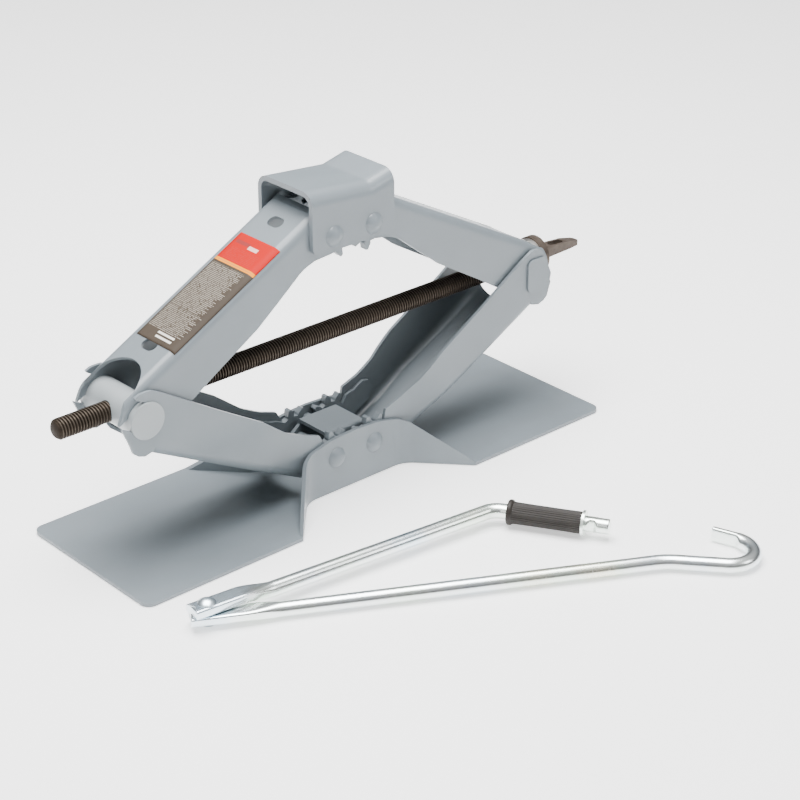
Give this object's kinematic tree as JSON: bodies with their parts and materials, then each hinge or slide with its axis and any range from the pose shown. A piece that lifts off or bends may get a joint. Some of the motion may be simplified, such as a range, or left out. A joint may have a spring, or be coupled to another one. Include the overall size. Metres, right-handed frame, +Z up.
{
  "type": "scissor stabilizer jack",
  "caption": "Low scissor jack of folded grey steel arms on a bow-tie base plate, raised by one level screw, with a loose folding crank handle beside it.",
  "frame": {"origin": "centre of the base plate's underside", "axes": "+X along the screw towards its drive eye, +Z up, the crank lies on the -Y side"},
  "size_m": [0.5295, 0.4043, 0.2544],
  "materials": {
    "grey_paint": "satin grey paint",
    "pale_grey_paint": "satin grey paint",
    "black_screw": "dark oiled steel",
    "black_forging": "dark oiled steel",
    "label": "printed film",
    "bright_race": "ground",
    "zinc_rod": "bright zinc plate",
    "zinc_small": "bright zinc plate",
    "dark_grip": "ribbed"
  },
  "bodies": {
    "base": {"base_plate": "grey_paint", "base_spacer": "grey_paint", "base_rivet_left": "grey_paint", "base_rivet_right": "grey_paint"},
    "lower_arm_left": {"lower_arm_left": "grey_paint", "lower_gear_left_front": "grey_paint", "lower_gear_left_back": "grey_paint"},
    "lower_arm_right": {"lower_arm_right": "grey_paint", "lower_gear_right_front": "grey_paint", "lower_gear_right_back": "grey_paint"},
    "upper_arm_left": {"upper_arm_left": "grey_paint", "upper_gear_left_front": "grey_paint", "upper_gear_left_back": "grey_paint", "arm_label": "label"},
    "upper_arm_right": {"upper_arm_right": "grey_paint", "upper_gear_right_front": "grey_paint", "upper_gear_right_back": "grey_paint"},
    "saddle": {"saddle": "grey_paint", "saddle_rivet_left": "grey_paint", "saddle_rivet_right": "grey_paint"},
    "trunnion_nut": {"trunnion_nut": "pale_grey_paint"},
    "trunnion_bearing": {"trunnion_bearing": "grey_paint", "thrust_race_rear": "bright_race", "thrust_balls": "bright_race"},
    "screw": {"lead_screw": "black_screw", "drive_eye": "black_forging", "thrust_race_front": "bright_race", "thrust_washer": "bright_race"},
    "crank_rod": {"crank_rod": "zinc_rod", "crank_rivet": "zinc_small"},
    "crank_arm": {"crank_arm": "zinc_rod", "grip_washer": "zinc_small"},
    "grip": {"grip": "dark_grip"}
  },
  "joints": [
    {"name": "fold", "type": "hinge", "parent": "base", "child": "lower_arm_left", "pos_m": [-0.0195, 0, 0.0292], "axis": [0, 1, 0], "range_deg": [-20.4, 42.1]},
    {"name": "lower_right_pivot", "type": "hinge", "parent": "base", "child": "lower_arm_right", "pos_m": [0.0195, 0, 0.0292], "axis": [0, 1, 0], "range_deg": [-42.1, 20.4]},
    {"name": "upper_left_pivot", "type": "hinge", "parent": "lower_arm_left", "child": "upper_arm_left", "pos_m": [-0.19625, 0, 0.12279], "axis": [0, 1, 0], "range_deg": [-84.2, 40.8]},
    {"name": "upper_right_pivot", "type": "hinge", "parent": "lower_arm_right", "child": "upper_arm_right", "pos_m": [0.19625, 0, 0.12279], "axis": [0, 1, 0], "range_deg": [-40.8, 84.2]},
    {"name": "saddle_pivot", "type": "hinge", "parent": "upper_arm_left", "child": "saddle", "pos_m": [-0.0195, 0, 0.21637], "axis": [0, 1, 0], "range_deg": [-20.4, 42.1]},
    {"name": "nut_pivot", "type": "hinge", "parent": "lower_arm_left", "child": "trunnion_nut", "pos_m": [-0.19625, 0, 0.12279], "axis": [0, 1, 0], "range_deg": [-42.1, 20.4]},
    {"name": "bearing_pivot", "type": "hinge", "parent": "lower_arm_right", "child": "trunnion_bearing", "pos_m": [0.19625, 0, 0.12279], "axis": [0, 1, 0], "range_deg": [-20.4, 42.1]},
    {"name": "screw_turn", "type": "hinge", "parent": "trunnion_bearing", "child": "screw", "pos_m": [0.19625, 0, 0.12279], "axis": [1, 0, 0], "continuous": true},
    {"name": "crank_lift", "type": "slide", "parent": "base", "child": "crank_arm", "axis": [0, 0, 1], "range_m": [0, 0.15]},
    {"name": "crank_fold", "type": "hinge", "parent": "crank_arm", "child": "crank_rod", "pos_m": [-0.2155, -0.12, 0], "axis": [0, 0, 1], "range_deg": [-158, 0]},
    {"name": "grip_turn", "type": "hinge", "parent": "crank_arm", "child": "grip", "pos_m": [0.0407, -0.15586, 0.0112], "axis": [0.5195, -0.8545, 0], "continuous": true}
  ],
  "couplings": [
    {"joint": "lower_right_pivot", "follows": "fold", "ratio": -1},
    {"joint": "upper_left_pivot", "follows": "fold", "ratio": -2},
    {"joint": "upper_right_pivot", "follows": "fold", "ratio": 2},
    {"joint": "saddle_pivot", "follows": "fold", "ratio": 1},
    {"joint": "nut_pivot", "follows": "fold", "ratio": -1},
    {"joint": "bearing_pivot", "follows": "fold", "ratio": 1}
  ]
}
